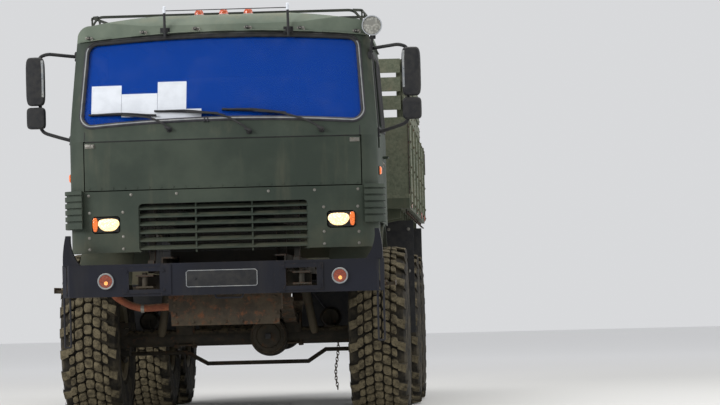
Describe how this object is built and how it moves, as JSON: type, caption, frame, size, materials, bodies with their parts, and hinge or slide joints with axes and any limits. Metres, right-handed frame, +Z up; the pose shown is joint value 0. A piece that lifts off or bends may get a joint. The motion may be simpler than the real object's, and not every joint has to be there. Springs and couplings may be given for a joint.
{
  "type": "six-wheel military cargo truck",
  "caption": "Forward-control six-wheel-drive military cargo truck with a tilting cab, opening doors and front lid, steered front wheels and a drop-side load bed with slatted racks.",
  "frame": {"origin": "on the ground under the middle of the truck's bounding box", "axes": "+Z up, -Y the way the truck faces, +X the truck's left side"},
  "size_m": [2.788, 7.86, 3],
  "materials": {
    "body_paint": "matt grey-green paint, dusty",
    "bumper_paint": "matt blue-black paint",
    "frame_paint": "matt black paint with dust and rust",
    "rusty_steel": "bare steel with brown rust",
    "bare_steel": "worn bare steel",
    "tyre_rubber": "matt black rubber, dusty",
    "black_plastic": "black plastic",
    "black_gloss": "glossy black plastic",
    "clear_glass": "clear glass",
    "lamp_glass": "lamp glass",
    "amber_plastic": "amber plastic",
    "seat_cloth": "grey cloth",
    "board_wood": "planks painted grey-green"
  },
  "bodies": {
    "chassis": {"frame_rails": "frame_paint", "front_bumper": "bumper_paint", "bumper_horns": "black_gloss", "tow_fittings": "bare_steel", "chassis_lamps": "amber_plastic", "front_crossbeam": "rusty_steel", "front_axle": "rusty_steel", "rear_axles": "rusty_steel", "leaf_springs": "frame_paint", "engine": "rusty_steel", "radiator": "frame_paint", "drive_line": "rusty_steel", "fuel_tank": "body_paint", "battery_box": "body_paint", "muffler": "rusty_steel", "spare_tyre": "tyre_rubber", "spare_rim": "frame_paint", "spare_carrier": "frame_paint", "air_cleaner": "black_plastic", "mudguards": "frame_paint", "cargo_floor": "board_wood", "cargo_boards": "board_wood", "cargo_racks": "board_wood"},
    "cab": {"cab_floor": "body_paint", "cab_back": "body_paint", "cab_sides": "body_paint", "cab_front": "body_paint", "cab_roof": "body_paint", "cab_glass": "clear_glass", "grille": "body_paint", "cab_lamps": "lamp_glass", "cab_fenders": "black_plastic", "seats": "seat_cloth", "dashboard": "black_plastic", "steering_wheel": "black_plastic", "mirrors": "black_plastic", "roof_rack": "body_paint", "searchlight": "black_gloss", "wipers": "black_plastic"},
    "front_lid": {"front_lid": "body_paint"},
    "door_left": {"door_left": "body_paint", "door_glass_left": "clear_glass"},
    "door_right": {"door_right": "body_paint", "door_glass_right": "clear_glass"},
    "tailgate": {"tailgate": "board_wood"},
    "knuckle_left": {"knuckle_left": "rusty_steel"},
    "knuckle_right": {"knuckle_right": "rusty_steel"},
    "tie_rod": {"tie_rod": "bare_steel"},
    "wheel_front_left": {"tyre_front_left": "tyre_rubber", "rim_front_left": "frame_paint"},
    "wheel_front_right": {"tyre_front_right": "tyre_rubber", "rim_front_right": "frame_paint"},
    "wheel_middle_left": {"tyre_middle_left": "tyre_rubber", "rim_middle_left": "frame_paint"},
    "wheel_middle_right": {"tyre_middle_right": "tyre_rubber", "rim_middle_right": "frame_paint"},
    "wheel_rear_left": {"tyre_rear_left": "tyre_rubber", "rim_rear_left": "frame_paint"},
    "wheel_rear_right": {"tyre_rear_right": "tyre_rubber", "rim_rear_right": "frame_paint"}
  },
  "joints": [
    {"name": "cab_tilt", "type": "hinge", "parent": "chassis", "child": "cab", "pos_m": [0, -3.8, 1.12], "axis": [1, 0, 0], "range_deg": [0, 40]},
    {"name": "front_lid_hinge", "type": "hinge", "parent": "cab", "child": "front_lid", "pos_m": [0, -3.792, 2.014], "axis": [-1, 0, 0], "range_deg": [0, 70]},
    {"name": "door_left_hinge", "type": "hinge", "parent": "cab", "child": "door_left", "pos_m": [1.086, -3.466, 1.9], "axis": [0, 0, -1], "range_deg": [0, 70]},
    {"name": "door_right_hinge", "type": "hinge", "parent": "cab", "child": "door_right", "pos_m": [-1.086, -3.466, 1.9], "axis": [0, 0, 1], "range_deg": [0, 70]},
    {"name": "tailgate_hinge", "type": "hinge", "parent": "chassis", "child": "tailgate", "pos_m": [0, 3.88, 1.64], "axis": [-1, 0, 0], "range_deg": [0, 165]},
    {"name": "steer_left", "type": "hinge", "parent": "chassis", "child": "knuckle_left", "pos_m": [0.86, -2.64, 0.626], "axis": [0, 0, 1], "range_deg": [-32, 32]},
    {"name": "steer_right", "type": "hinge", "parent": "chassis", "child": "knuckle_right", "pos_m": [-0.86, -2.64, 0.626], "axis": [0, 0, 1], "range_deg": [-32, 32]},
    {"name": "tie_rod_pivot", "type": "hinge", "parent": "knuckle_left", "child": "tie_rod", "pos_m": [0.86, -2.475, 0.516], "axis": [0, 0, 1], "range_deg": [-32, 32]},
    {"name": "spin_front_left", "type": "hinge", "parent": "knuckle_left", "child": "wheel_front_left", "pos_m": [1.03, -2.64, 0.626], "axis": [1, 0, 0], "continuous": true},
    {"name": "spin_front_right", "type": "hinge", "parent": "knuckle_right", "child": "wheel_front_right", "pos_m": [-1.03, -2.64, 0.626], "axis": [1, 0, 0], "continuous": true},
    {"name": "spin_middle_left", "type": "hinge", "parent": "chassis", "child": "wheel_middle_left", "pos_m": [1.03, 0.7, 0.626], "axis": [1, 0, 0], "continuous": true},
    {"name": "spin_middle_right", "type": "hinge", "parent": "chassis", "child": "wheel_middle_right", "pos_m": [-1.03, 0.7, 0.626], "axis": [1, 0, 0], "continuous": true},
    {"name": "spin_rear_left", "type": "hinge", "parent": "chassis", "child": "wheel_rear_left", "pos_m": [1.03, 2.02, 0.626], "axis": [1, 0, 0], "continuous": true},
    {"name": "spin_rear_right", "type": "hinge", "parent": "chassis", "child": "wheel_rear_right", "pos_m": [-1.03, 2.02, 0.626], "axis": [1, 0, 0], "continuous": true}
  ],
  "couplings": [
    {"joint": "steer_right", "follows": "steer_left", "ratio": 1},
    {"joint": "tie_rod_pivot", "follows": "steer_left", "ratio": -1}
  ]
}
